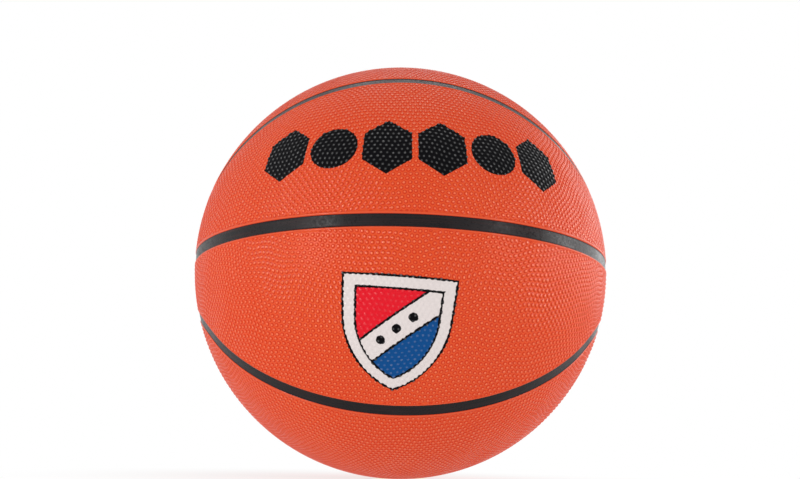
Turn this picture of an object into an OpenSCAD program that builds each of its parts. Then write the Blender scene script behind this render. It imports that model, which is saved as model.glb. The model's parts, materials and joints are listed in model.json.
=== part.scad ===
// Inflated basketball: air bladder, thread winding, rubber carcass, eight pebbled cover panels,
// seven channel strips between them, and a self-sealing needle valve.
// The origin is the ball's centre. The equator seam lies in XY and the meridian seam in XZ.
// The two oval seams go round +Z and -Z.

/* [Ball] */
// Circumference over the tops of the cover's pebbles
ball_circumference = 760; // [720:1:800]

/* [Layers] */
// Thickness of a cover panel
cover_t = 1.45; // [1.2:0.05:2.2]
// Thickness of the rubber carcass under the cover
carcass_t = 0.65; // [0.4:0.05:1.5]
// Thickness of the wound nylon thread
winding_t = 0.45; // [0.3:0.05:1]
// Thickness of the bladder's wall
bladder_t = 0.55; // [0.4:0.05:1.2]

/* [Seams] */
// Width of a channel strip
strip_w = 6.1; // [4:0.1:9]
// Depth of a strip's face below the cover
strip_recess = 0.55; // [0.2:0.05:0.9]
// Width of the sloped lip along a panel's edge
lip_w = 1.3; // [0.6:0.1:2.5]
// Depth of that lip at the seam
lip_drop = 0.45; // [0.2:0.05:0.8]
// Latitude of an oval seam at the front and back of the ball
oval_side_lat = 45.4; // [42:0.1:48]
// Latitude of an oval seam's round ends, where it meets the meridian seam
oval_end_lat = 14; // [11:0.5:18]
// Angular radius of an oval seam's long side arcs
oval_side_angle = 91.13; // [90:0.01:92]

/* [Valve] */
// Latitude of the valve, on the back of the ball
valve_lat = 14; // [11:0.5:24]
// Radius of the needle's guide hole
needle_hole_r = 1.05; // [0.9:0.01:1.3]
// Length of the needle's guide hole, below its mouth
needle_hole_len = 3.6; // [2.5:0.1:6]
// Radius of the hole's coned mouth
needle_mouth_r = 1.6; // [1.4:0.05:1.9]
// Depth of the coned mouth
needle_mouth_depth = 0.5; // [0.3:0.05:1]
// Radius of the plug's nose inside the eyelet
nose_r = 2.6; // [2:0.1:3.4]
// Depth of the nose's face below the cover
nose_recess = 0.7; // [0.4:0.05:1]
// Outer radius of the eyelet
eyelet_r = 4.5; // [4:0.1:7]
// Depth of the eyelet's face below the cover
eyelet_recess = 0.3; // [0.1:0.05:0.6]
// Radius of the plug's body
plug_r = 3.6; // [3.4:0.1:4.4]
// Length of the plug's body
plug_len = 11; // [8:0.5:16]
// Wall of the valve housing round the plug
housing_wall = 1.9; // [1.2:0.1:3]
// Thickness of the housing's inner end
housing_floor = 1.5; // [1:0.1:3]
// Radius of the hole in the housing's inner end
housing_exit_r = 0.8; // [0.5:0.1:1.2]
// Radius of the patch that joins the housing to the bladder
patch_r = 15; // [12:0.5:20]
// Thickness of the patch
patch_t = 0.8; // [0.5:0.1:1.5]
// Glue between the patch and the bladder
glue_t = 0.05; // [0.02:0.01:0.15]

/* [Hidden] */
$fn = 180;

// How far a cut runs past what it cuts
overrun = 2;

// Colours
cover_colour = [0.93, 0.25, 0.12];
strip_colour = [0.07, 0.07, 0.07];
thread_colour = [0.85, 0.83, 0.78];
butyl_colour = [0.16, 0.16, 0.17];
carcass_colour = [0.22, 0.18, 0.16];
plug_colour = [0.3, 0.3, 0.3];

// Outer radius of each layer, from the cover inwards, and the radius of the air space
ball_r = ball_circumference / (2 * PI);
carcass_r = ball_r - cover_t;
winding_r = carcass_r - carcass_t;
bladder_r = winding_r - winding_t;
air_r = bladder_r - bladder_t;
strip_r = ball_r - strip_recess;

// Half of a strip's width and the lip's width, as angles seen from the ball's centre
strip_half = asin(strip_w / 2 / ball_r);
lip_half = asin((strip_w / 2 + lip_w) / ball_r);

// Angle that a lip's slope reaches where it is carried on past the ball
past_half = strip_half + (lip_half - strip_half) * (lip_drop + overrun) / lip_drop;

// Tilts of the axis that the round layers are turned about, so that it meets the ball clear of
// the seams and the valve
layer_tilt_x = 50;
layer_tilt_y = 20;

// Pole of an oval's front side arc, as a tilt of +Z about X
side_tilt = 90 - oval_side_lat - oval_side_angle;
// The oval's end arcs: small circles about poles in the XZ plane, tangent to both side arcs.
// Pole latitude: tan(lat) * (cos(tilt) - sin(k)) = cos(k), where k = side angle + end latitude
end_k = oval_side_angle + oval_end_lat;
end_pole_lat = atan(cos(end_k) / (cos(side_tilt) - sin(end_k)));
end_angle = end_pole_lat - oval_end_lat;
// Where side and end arcs meet, as turns about their own poles
side_turn = atan(tan(end_pole_lat) * sin(-side_tilt));
end_turn = atan2(sin(-side_tilt), cos(side_tilt) * cos(end_pole_lat));
// Steps along a quarter of an oval seam
end_steps = 12;
side_steps = 6;

// Depths along the valve, from the ball's centre
nose_top = ball_r - nose_recess;
needle_mouth_bottom = nose_top - needle_mouth_depth;
patch_top = air_r - glue_t;
eyelet_top = ball_r - eyelet_recess;
plug_bottom = carcass_r - plug_len;
housing_r = plug_r + housing_wall;
housing_bottom = plug_bottom - housing_floor;

// A point of a profile at a radius and at an angle from the axis that the profile turns about
function polar(radius, angle) = [radius * sin(angle), radius * cos(angle)];

// Directions from the ball's centre: on a circle about Z, then tilted about X or Y
function on_circle(angle, turn) = [sin(angle) * cos(turn), sin(angle) * sin(turn), cos(angle)];
function tilt_x(p, a) = [p.x, p.y * cos(a) - p.z * sin(a), p.y * sin(a) + p.z * cos(a)];
function tilt_y(p, a) = [p.x * cos(a) + p.z * sin(a), p.y, p.z * cos(a) - p.x * sin(a)];

// A quarter of the top oval, from its right end to the middle of its front, moved out by an angle
function oval_quarter(out) = concat(
    [for (i = [0:end_steps])
        tilt_y(on_circle(end_angle + out, -end_turn * i / end_steps), 90 - end_pole_lat)],
    [for (i = [1:side_steps])
        tilt_x(on_circle(oval_side_angle + out, -side_turn - (90 - side_turn) * i / side_steps),
               side_tilt)]);

// The same list run backwards, without its first and last directions
function inner_reversed(list) = [for (i = [len(list) - 2:-1:1]) list[i]];

// The whole oval, clockwise as seen from above
function oval_ring(out) =
    let (quarter = oval_quarter(out),
         front = concat(quarter, [for (p = inner_reversed(quarter)) [-p.x, p.y, p.z]],
                        [[-quarter[0].x, quarter[0].y, quarter[0].z]]))
    concat(front, [for (p = inner_reversed(front)) [p.x, -p.y, p.z]]);

// A cone from the ball's centre through rings of directions, each at its own radius,
// closed by a cap far above the ball
module oval_cone(rings, radii) {
    cap_r = 2 * ball_r;
    n = len(rings[0]);
    points = concat([[0, 0, 0]], [for (k = [0:len(rings) - 1]) each rings[k] * radii[k]],
                    [[0, 0, cap_r]]);
    apex_fan = [for (i = [0:n - 1]) [0, 1 + (i + 1) % n, 1 + i]];
    walls = [for (k = [0:1:len(rings) - 2], i = [0:n - 1])
        let (a = 1 + k * n + i, b = 1 + k * n + (i + 1) % n)
        each [[a, b, a + n], [b, b + n, a + n]]];
    last = 1 + (len(rings) - 1) * n;
    cap = [for (i = [0:n - 1]) [last + i, last + (i + 1) % n, len(points) - 1]];
    polyhedron(points, concat(apex_fan, walls, cap));
}

// Everything within the oval seam's centre line moved out by an angle
module plain_cone(out) {
    oval_cone([oval_ring(out)], [2 * ball_r]);
}

// The same with the sloped lip. side is 1 for the room that a middle panel leaves, and -1 for
// an oval panel
module lipped_cone(side) {
    far_ring = oval_ring(side * past_half);
    oval_cone([oval_ring(side * strip_half), far_ring, far_ring],
              [ball_r - lip_drop, ball_r + overrun, 2 * ball_r]);
}

// A round layer between two radii
module layer(inner_r, outer_r) {
    rotate([layer_tilt_x, layer_tilt_y, 0])
        difference() {
            sphere(outer_r);
            sphere(inner_r);
        }
}

// Everything on the +Z side of a great circle's channel, with the sloped lip
module lipped_side() {
    rotate_extrude()
        polygon([[0, 0], polar(ball_r - lip_drop, 90 - strip_half),
                 polar(ball_r + overrun, 90 - past_half), [2 * ball_r, 2 * ball_r], [0, 2 * ball_r]]);
}

// Everything on the +Z side of a great circle's channel, with a plain wall
module plain_side() {
    rotate_extrude() polygon([[0, 0], polar(2 * ball_r, 90 - strip_half), [0, 2 * ball_r]]);
}

// Turns a side of the equator to the front side of the meridian
module to_front() {
    rotate([90, 0, 0]) children();
}

// The front upper quarter of the cover, between the equator and the meridian
module cover_quarter() {
    intersection() {
        layer(carcass_r, ball_r);
        lipped_side();
        to_front() lipped_side();
    }
}

// Front upper middle panel: between the equator, the meridian and the top oval
module middle_panel() {
    difference() {
        cover_quarter();
        lipped_cone(1);
    }
}

// Front half of the cover inside the top oval
module oval_panel() {
    intersection() {
        cover_quarter();
        lipped_cone(-1);
    }
}

// Front half of the strip in the top oval's channel, butted against the meridian strip
module oval_strip() {
    difference() {
        intersection() {
            layer(carcass_r, strip_r);
            to_front() plain_side();
            plain_cone(strip_half);
        }
        plain_cone(-strip_half);
    }
}

// A stretch of strip along the equator, starting at +X
module great_strip(turn) {
    rotate_extrude(angle = turn)
        intersection() {
            difference() {
                circle(strip_r);
                circle(carcass_r);
            }
            polygon([[0, 0], polar(2 * ball_r, 90 - strip_half), polar(2 * ball_r, 90 + strip_half)]);
        }
}

// Upper half of the strip in the meridian's channel, butted against the equator strip
module meridian_strip() {
    to_front() rotate([0, 0, strip_half]) great_strip(180 - 2 * strip_half);
}

// Puts a piece at the valve, with its Z axis pointing out of the ball
module at_valve() {
    rotate([valve_lat - 90, 0, 0]) children();
}

// A round layer with the hole that the valve housing passes through
module pierced_layer(inner_r, outer_r) {
    difference() {
        layer(inner_r, outer_r);
        at_valve() cylinder(h = 2 * ball_r, r = housing_r);
    }
}

module bladder() {
    color(butyl_colour) pierced_layer(air_r, bladder_r);
}

module nylon_winding() {
    color(thread_colour) pierced_layer(bladder_r, winding_r);
}

module carcass() {
    color(carcass_colour) pierced_layer(winding_r, carcass_r);
}

// Disc bonded to the bladder's inside, round the housing
module valve_patch() {
    color(butyl_colour)
        difference() {
            intersection() {
                layer(patch_top - patch_t, patch_top);
                at_valve() cylinder(h = 2 * ball_r, r = patch_r);
            }
            at_valve() cylinder(h = 2 * ball_r, r = housing_r);
        }
}

// Rubber cup that holds the plug, with its outer end level with the carcass
module valve_housing() {
    color(butyl_colour)
        difference() {
            intersection() {
                sphere(carcass_r);
                at_valve() translate([0, 0, housing_bottom])
                    cylinder(h = ball_r - housing_bottom, r = housing_r);
            }
            at_valve() translate([0, 0, plug_bottom]) cylinder(h = ball_r - plug_bottom, r = plug_r);
            at_valve() translate([0, 0, housing_bottom - overrun])
                cylinder(h = plug_bottom - housing_bottom + 2 * overrun, r = housing_exit_r);
        }
}

// Soft core with the needle's guide hole and its coned mouth. Below the hole its slit is closed
module valve_plug() {
    color(plug_colour)
        difference() {
            union() {
                intersection() {
                    sphere(carcass_r);
                    at_valve() translate([0, 0, plug_bottom]) cylinder(h = ball_r - plug_bottom, r = plug_r);
                }
                at_valve() translate([0, 0, plug_bottom]) cylinder(h = nose_top - plug_bottom, r = nose_r);
            }
            at_valve() translate([0, 0, needle_mouth_bottom - needle_hole_len])
                cylinder(h = needle_hole_len + overrun, r = needle_hole_r);
            at_valve() translate([0, 0, needle_mouth_bottom])
                cylinder(h = needle_mouth_depth, r1 = needle_hole_r, r2 = needle_mouth_r);
        }
}

// Ring between the panel and the plug's nose
module valve_eyelet() {
    color(strip_colour)
        difference() {
            intersection() {
                layer(carcass_r, eyelet_top);
                at_valve() cylinder(h = 2 * ball_r, r = eyelet_r);
            }
            at_valve() cylinder(h = 2 * ball_r, r = nose_r);
        }
}

module front_upper_panel() {
    color(cover_colour) middle_panel();
}

module front_lower_panel() {
    color(cover_colour) mirror([0, 0, 1]) middle_panel();
}

module back_upper_panel() {
    color(cover_colour)
        difference() {
            mirror([0, 1, 0]) middle_panel();
            at_valve() cylinder(h = 2 * ball_r, r = eyelet_r);
        }
}

module back_lower_panel() {
    color(cover_colour) mirror([0, 1, 0]) mirror([0, 0, 1]) middle_panel();
}

module front_top_oval_panel() {
    color(cover_colour) oval_panel();
}

module front_bottom_oval_panel() {
    color(cover_colour) mirror([0, 0, 1]) oval_panel();
}

module back_top_oval_panel() {
    color(cover_colour) mirror([0, 1, 0]) oval_panel();
}

module back_bottom_oval_panel() {
    color(cover_colour) mirror([0, 1, 0]) mirror([0, 0, 1]) oval_panel();
}

module equator_strip() {
    color(strip_colour) great_strip(360);
}

module upper_meridian_strip() {
    color(strip_colour) meridian_strip();
}

module lower_meridian_strip() {
    color(strip_colour) mirror([0, 0, 1]) meridian_strip();
}

module front_top_oval_strip() {
    color(strip_colour) oval_strip();
}

module back_top_oval_strip() {
    color(strip_colour) mirror([0, 1, 0]) oval_strip();
}

module front_bottom_oval_strip() {
    color(strip_colour) mirror([0, 0, 1]) oval_strip();
}

module back_bottom_oval_strip() {
    color(strip_colour) mirror([0, 1, 0]) mirror([0, 0, 1]) oval_strip();
}

bladder();
valve_patch();
valve_housing();
valve_plug();
nylon_winding();
carcass();
valve_eyelet();
front_upper_panel();
front_lower_panel();
back_upper_panel();
back_lower_panel();
front_top_oval_panel();
front_bottom_oval_panel();
back_top_oval_panel();
back_bottom_oval_panel();
equator_strip();
upper_meridian_strip();
lower_meridian_strip();
front_top_oval_strip();
back_top_oval_strip();
front_bottom_oval_strip();
back_bottom_oval_strip();
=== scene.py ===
# The looks of a size 7 basketball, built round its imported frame.
# Lengths in the dictionaries are in millimetres, and angles in degrees.
# Panels and oval strips are worked out in the ball's front upper quarter and mirrored to their own places.
import json
import math

import bpy
import numpy as np
from mathutils import Matrix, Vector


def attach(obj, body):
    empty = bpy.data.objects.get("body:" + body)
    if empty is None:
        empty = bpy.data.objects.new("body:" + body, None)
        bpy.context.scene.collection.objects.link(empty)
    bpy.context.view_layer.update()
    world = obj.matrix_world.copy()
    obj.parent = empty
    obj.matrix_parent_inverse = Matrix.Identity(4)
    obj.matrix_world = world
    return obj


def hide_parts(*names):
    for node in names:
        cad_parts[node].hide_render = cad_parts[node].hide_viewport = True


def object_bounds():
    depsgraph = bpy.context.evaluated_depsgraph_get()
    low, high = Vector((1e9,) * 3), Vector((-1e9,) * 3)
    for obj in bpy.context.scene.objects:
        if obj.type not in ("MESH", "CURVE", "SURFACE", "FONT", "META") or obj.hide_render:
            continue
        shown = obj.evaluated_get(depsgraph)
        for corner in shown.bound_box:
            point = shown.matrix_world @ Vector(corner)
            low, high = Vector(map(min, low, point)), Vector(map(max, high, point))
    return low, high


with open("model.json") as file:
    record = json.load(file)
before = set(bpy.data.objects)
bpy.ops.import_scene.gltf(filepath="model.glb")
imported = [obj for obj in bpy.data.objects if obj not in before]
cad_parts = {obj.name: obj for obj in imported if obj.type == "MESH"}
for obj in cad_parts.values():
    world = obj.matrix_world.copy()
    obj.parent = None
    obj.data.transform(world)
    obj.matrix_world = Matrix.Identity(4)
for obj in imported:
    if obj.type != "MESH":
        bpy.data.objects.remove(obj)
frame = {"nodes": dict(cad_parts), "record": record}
cadLow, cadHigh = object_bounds()
mm = 0.001


def nodeReach(node):
    # Nearest and farthest corner of a CAD node from the ball's centre, in mm
    mesh = frame["nodes"][node].data
    flat = np.zeros(len(mesh.vertices) * 3)
    mesh.vertices.foreach_get("co", flat)
    distance = np.linalg.norm(flat.reshape(-1, 3), axis=1) / mm
    return float(distance.min()), float(distance.max())


carcassR, ballR = nodeReach("front_upper_panel")
stripR = nodeReach("equator_strip")[1]
needleGuide = next(m for m in frame["record"]["mounts"] if m["name"] == "needle_guide")
valveAxis = np.array(needleGuide["axis"])
print(f"frame loaded: ball radius {ballR:.2f} mm, carcass {carcassR:.2f} mm")

# Camera

camera = {
    "azimuth": -0.6661,         # 0 is the front, and 90 the ball's right side
    "elevation": -11.8524,
    "roll": 1.3102,
    "distance": 505.4,
    "focalLength": 37.606,
    "sensorWidth": 36.0,
    "nearest": 10.0,            # where it begins to see
    "imageSize": (800, 479),
    "ballPixel": (400.48, 273.24),   # where the ball's centre lies in the image
}


def placed(name, data, azimuth, elevation, distance, roll=0.0):
    # A camera or lamp that faces the ball's centre from a distance, turned by roll about its line of sight
    a, e, r = (math.radians(angle) for angle in (azimuth, elevation, roll))
    back = np.array([math.sin(a) * math.cos(e), -math.cos(a) * math.cos(e), math.sin(e)])
    level = np.array([math.cos(a), math.sin(a), 0])
    right = math.cos(r) * level + math.sin(r) * np.cross(back, level)
    place = np.eye(4)
    place[:3] = np.stack([right, np.cross(back, right), back, back * distance * mm], -1)
    body = bpy.data.objects.new(name, data)
    body.matrix_world = Matrix(place.tolist())
    bpy.context.scene.collection.objects.link(body)
    return body


def makeCamera():
    # The camera's shift puts the ball's centre at ballPixel
    width, height = camera["imageSize"]
    data = bpy.data.cameras.new("camera")
    data.lens = camera["focalLength"]
    data.sensor_width = camera["sensorWidth"]
    data.shift_x = (width / 2 - camera["ballPixel"][0]) / width
    data.shift_y = (camera["ballPixel"][1] - height / 2) / width
    data.clip_start = camera["nearest"] * mm
    bpy.context.scene.camera = placed("camera", data, camera["azimuth"], camera["elevation"],
                                      camera["distance"], camera["roll"])


makeCamera()
print("camera placed")

# Seams

seams = {
    "stripWidth": 6.1,
    "ovalSideLat": 45.4,      # latitude of an oval at the front and back
    "ovalEndLat": 14.0,       # latitude of its round ends on the meridian seam
    "ovalSideAngle": 91.13,   # angular radius of its long side arcs
    "cornerRadius": 2.6,      # rounding of a panel's corners
}
halfStrip = seams["stripWidth"] / 2
joinHalf = halfStrip + seams["cornerRadius"]
sideTilt = math.radians(90 - seams["ovalSideLat"] - seams["ovalSideAngle"])
sideAngle = math.radians(seams["ovalSideAngle"])
endLat = math.radians(seams["ovalEndLat"])
# The end arcs touch the side arcs: tan(pole latitude) = cos(k) / (cos(tilt) - sin(k)),
# where k is the side arcs' angle and the ends' latitude together
endPoleLat = math.atan(math.cos(sideAngle + endLat) / (math.cos(sideTilt) - math.sin(sideAngle + endLat)))
endAngle = endPoleLat - endLat
sidePole = np.array([0, -math.sin(sideTilt), math.cos(sideTilt)])
endPole = np.array([math.cos(endPoleLat), 0, math.sin(endPoleLat)])
sideTurn = math.atan(math.tan(endPoleLat) * math.sin(-sideTilt))
endTurn = math.atan2(math.sin(-sideTilt), math.cos(sideTilt) * math.cos(endPoleLat))


def unit(vectors):
    # Each vector divided by its length
    return vectors / np.linalg.norm(vectors, axis=-1, keepdims=True)


def angleFrom(points, pole):
    # The angle whose cosine is the dot product of two unit vectors
    return np.arccos(np.clip(points @ pole, -1, 1))


def outsideOval(points):
    # Distance from the oval's line, positive outside: the angle from the nearer arc's pole less its radius
    mirrored = points * np.where(points[..., :1] < 0, -1, 1) ** np.array([1, 0, 0])
    byEnd = mirrored @ np.cross(sidePole, endPole) > 0
    return ballR * np.where(byEnd, angleFrom(mirrored, endPole) - endAngle,
                            angleFrom(mirrored, sidePole) - sideAngle)


def besideSeam(heights):
    # Distance from the strip along a great circle, given the points' heights over that circle's plane
    return ballR * np.arcsin(np.clip(heights, -1, 1)) - halfStrip


def roundedCorner(a, b):
    # The lesser of two distances, with the corner between them rounded by a quarter circle
    r = seams["cornerRadius"]
    corner = r - np.hypot(r - a, r - b)
    return np.where((a < r) & (b < r), corner, np.minimum(a, b))


def middleField(points):
    # Distance inside the edge of a middle panel, between the equator, the meridian and the oval
    fromBoth = np.minimum(besideSeam(points[..., 2]), outsideOval(points) - halfStrip)
    return roundedCorner(fromBoth, besideSeam(-points[..., 1]))


def ovalField(points):
    # Distance inside the edge of an oval panel, between the meridian and the oval
    return roundedCorner(-outsideOval(points) - halfStrip, besideSeam(-points[..., 1]))


def inward(points, field):
    # Unit tangent along which a field grows, from its differences a short way to each side
    step = 2e-4
    elsewhere = [0, 0.6, 0.8]   # a direction away from the front quarter
    east = unit(np.cross(points, elsewhere))
    north = np.cross(points, east)
    slopes = [field(unit(points + step * way)) - field(unit(points - step * way)) for way in (east, north)]
    return unit(east * slopes[0][..., None] + north * slopes[1][..., None])


def slid(points, field, distance):
    # Points moved over the ball by a distance towards the inside of a field
    angle = np.broadcast_to(distance / ballR, points.shape[:-1])[..., None]
    return points * np.cos(angle) + inward(points, field) * np.sin(angle)


# Mesh tools

def makePiece(name, node, corners, triangles, finish, cornerValues, creaseAngle=50):
    # A closed piece from whole arrays: corners in mm, triangles as corner numbers, and named values for each
    # corner. All the triangles are turned over if the signed volume inside them is negative
    a, b, c = (corners[triangles[:, k]] for k in range(3))
    if (np.cross(b - a, c - a) * a).sum() < 0:
        triangles = triangles[:, ::-1]
    mesh = bpy.data.meshes.new(name)
    mesh.vertices.add(len(corners))
    mesh.vertices.foreach_set("co", (corners * mm).astype(np.float32).ravel())
    mesh.loops.add(triangles.size)
    mesh.loops.foreach_set("vertex_index", triangles.astype(np.int32).ravel())
    mesh.polygons.add(len(triangles))
    mesh.polygons.foreach_set("loop_start", np.arange(0, triangles.size, 3, dtype=np.int32))
    mesh.update(calc_edges=True)
    mesh.validate()
    for key, values in cornerValues.items():
        mesh.attributes.new(key, "FLOAT", "POINT").data.foreach_set("value", values.astype(np.float32))
    mesh.shade_smooth()
    mesh.set_sharp_from_angle(angle=math.radians(creaseAngle))
    mesh.materials.append(finish)
    piece = bpy.data.objects.new(name, mesh)
    bpy.context.scene.collection.objects.link(piece)
    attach(piece, "root")
    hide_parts(node)
    print(f"{name}: {len(triangles)} triangles")


def gridTriangles(rows, columns, closedRows, closedColumns):
    # Two triangles for each cell of a grid whose corners are numbered row by row
    r = np.arange(rows if closedRows else rows - 1)[:, None]
    c = np.arange(columns if closedColumns else columns - 1)[None, :]
    a = r * columns + c
    b = r * columns + (c + 1) % columns
    d = (r + 1) % rows * columns + c
    e = (r + 1) % rows * columns + (c + 1) % columns
    return np.concatenate([np.stack([a, b, e], -1).reshape(-1, 3), np.stack([a, e, d], -1).reshape(-1, 3)])


# Cover panels

pebbles = {
    "pitch": 2.78,
    "height": 0.46,
    "topDepth": 0.02,           # of the highest pebbles, below the ball's radius
    "ringShares": (0.40, 0.79),  # radii of a pebble's two rings, of half the pitch
    "ringRises": (0.83, 0.08),  # their heights, of the pebble's, so that it is a dome on flat ground
    "jitter": 0.13,
    "sizeSpread": 0.07,
    "heightSpread": 0.08,
    "drift": 1.2,               # how far rows of pebbles wander
    "driftWaves": 5,
    "driftLength": 27.0,
    "driftSpread": (0.75, 1.35),   # shortest and longest wave, as shares of that length
    "fade": 0.35,               # how soon a pebble rises beside the welt
}
sheet = {
    "reach": 24.5,              # angle from a panel's middle line to the flat sheet's edge
    "spare": 4.0,               # length of sheet past the ball's side
    "snap": 0.14,               # corners this near to the welt are moved onto its edge
}
welt = {
    "width": 1.15,
    "edgeDepth": 0.17,          # of the ground beside the welt
    "slopeWidth": 0.7,          # over which the ground falls away from it
    # Distance from the panel's edge, and depth below the ball's radius
    "profile": ((1.0, 0.07), (0.82, 0.03), (0.62, 0.06), (0.4, 0.17), (0.2, 0.32), (0.07, 0.45), (0.0, 0.6)),
    "shadeDepths": (0.3, 0.55),   # between these depths painted shade darkens the welt towards the strip
    "shadeRises": (0.75, 0.25),   # from the rise of a pebble's shoulder to that of its painted-shade flank
}
underside = {
    "gap": 0.02,                # between it and the carcass
    "spacing": 6.0,             # of its corners
    "margin": 4.5,              # from the panel's edge to the first of them
    "snap": 1.2,
}
panelKinds = {
    # The field that bounds it, and the tilt of the great circle that its sheet is laid along
    "middle": (middleField, 22.5),
    "oval": (ovalField, 67.5),
}
valleyDepth = pebbles["topDepth"] + pebbles["height"]
undersideR = carcassR + underside["gap"]
rowStep = math.sqrt(0.75)       # between the rows of a triangular lattice, of its spacing
evenTone = 0.5                  # of all but the pebbles, whose own tones run from 0 to 1


def lattice(spacing):
    # Spots of a flat triangular lattice, by columns and rows, large enough for any panel
    rowCount = math.ceil(ballR * math.radians(sheet["reach"]) / (spacing * rowStep))
    columnCount = math.ceil((ballR * math.pi / 2 + sheet["spare"]) / spacing + rowCount / 2)
    i, j = np.mgrid[-columnCount:columnCount + 1, -rowCount:rowCount + 1]
    return np.stack([spacing * (i + j / 2), spacing * rowStep * j], -1)


def drifted(spots, random):
    # A sum of plane waves, each shifting its crests sideways, so rows turn but keep their density
    count = pebbles["driftWaves"]
    heading = random.uniform(0, 2 * math.pi, count)
    length = pebbles["driftLength"] * random.uniform(*pebbles["driftSpread"], count)
    phase = spots @ (np.stack([np.cos(heading), np.sin(heading)]) * 2 * math.pi / length)
    wave = np.sin(phase + random.uniform(0, 2 * math.pi, count)) * pebbles["drift"] / math.sqrt(count)
    return spots + wave @ np.stack([-np.sin(heading), np.cos(heading)], -1)


def pebbledSheet(seed):
    # Flat sheet of pebbles on a triangular lattice: 24 corners and 48 triangles a pebble.
    # Corner 0 is the top, 1 to 6 and 7 to 18 are its rings, and the last five are shared with its neighbours
    random = np.random.default_rng(seed)
    cornerCount = 24
    middle = lattice(pebbles["pitch"])
    shape = middle.shape[:2]
    middle = middle + random.uniform(-1, 1, middle.shape) * pebbles["jitter"]
    size = 1 + random.uniform(-1, 1, shape) * pebbles["sizeSpread"]
    height = 1 - random.uniform(0, 1, shape) * pebbles["heightSpread"]
    tone = random.uniform(0, 1, shape)

    def near(values, di, dj):
        return np.roll(values, (-di, -dj), (0, 1))

    spots = np.zeros(shape + (cornerCount, 2))
    rise = np.zeros(shape + (cornerCount,))
    tones = np.repeat(tone[..., None], cornerCount, -1)
    spots[..., 0, :], rise[..., 0] = middle, height
    for first, count, share, ringRise in zip((1, 7), (6, 12), pebbles["ringShares"], pebbles["ringRises"]):
        turn = np.arange(count) * 2 * math.pi / count
        ring = np.stack([np.cos(turn), np.sin(turn)], -1) * share * pebbles["pitch"] / 2
        spots[..., first:first + count, :] = middle[..., None, :] + size[..., None, None] * ring
        rise[..., first:first + count] = height[..., None] * ringRise
    right, upper, upperLeft = near(middle, 1, 0), near(middle, 0, 1), near(middle, -1, 1)
    for k, neighbours in ((19, (right,)), (20, (upper,)), (21, (upperLeft,)),
                          (22, (right, upper)), (23, (upper, upperLeft))):
        spots[..., k, :] = (middle + sum(neighbours)) / (1 + len(neighbours))
        tones[..., k] = evenTone

    # A pebble's own corners and the twelve shared ones round it, which its neighbours hold in part
    base = (np.arange(tone.size) * cornerCount).reshape(shape)
    outline = ((0, 0, 19), (0, 0, 22), (0, 0, 20), (0, 0, 23), (0, 0, 21), (-1, 0, 22),
               (-1, 0, 19), (0, -1, 23), (0, -1, 20), (0, -1, 22), (1, -1, 21), (1, -1, 23))
    own = [base + k for k in range(19)]
    shared = [near(base, di, dj) + k for di, dj, k in outline]
    numbers = np.stack(own + shared, -1)[1:-1, 1:-1].reshape(-1, len(own) + len(outline))
    fan = [(0, 1 + k, 1 + (k + 1) % 6) for k in range(6)]
    inner = [corner for k in range(6) for corner in (
        (1 + k, 7 + 2 * k, 8 + 2 * k),
        (1 + k, 8 + 2 * k, 1 + (k + 1) % 6),
        (1 + (k + 1) % 6, 8 + 2 * k, 7 + (2 * k + 2) % 12))]
    outer = [corner for k in range(12) for corner in (
        (7 + k, 19 + k, 19 + (k + 1) % 12), (7 + k, 19 + (k + 1) % 12, 7 + (k + 1) % 12))]
    triangles = numbers[:, np.array(fan + inner + outer)].reshape(-1, 3)
    return drifted(spots.reshape(-1, 2), random), rise.ravel(), tones.ravel(), triangles


def plainSheet(spacing):
    # A flat sheet of equal triangles
    spots = lattice(spacing)
    numbers = np.arange(spots.size // 2).reshape(spots.shape[:2])
    a, b, c, d = numbers[:-1, :-1], numbers[1:, :-1], numbers[:-1, 1:], numbers[1:, 1:]
    halves = [np.stack(half, -1).reshape(-1, 3) for half in ((a, b, c), (b, d, c))]
    return spots.reshape(-1, 2), np.concatenate(halves)


def smoothStep(values):
    # Three times the square less twice the cube, between 0 and 1
    values = np.clip(values, 0, 1)
    return values * values * (3 - 2 * values)


def onBall(spots, tilt):
    # Directions of flat spots: x runs along the great circle through the ball's sides at a tilt, y across it
    s, t = spots[..., 0] / ballR, spots[..., 1] / ballR
    ahead = np.array([0, -math.cos(tilt), math.sin(tilt)])
    aside = np.array([1, 0, 0])
    across = np.array([0, math.sin(tilt), math.cos(tilt)])
    return ((np.cos(t) * np.cos(s))[..., None] * ahead + (np.cos(t) * np.sin(s))[..., None] * aside
            + np.sin(t)[..., None] * across)


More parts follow.
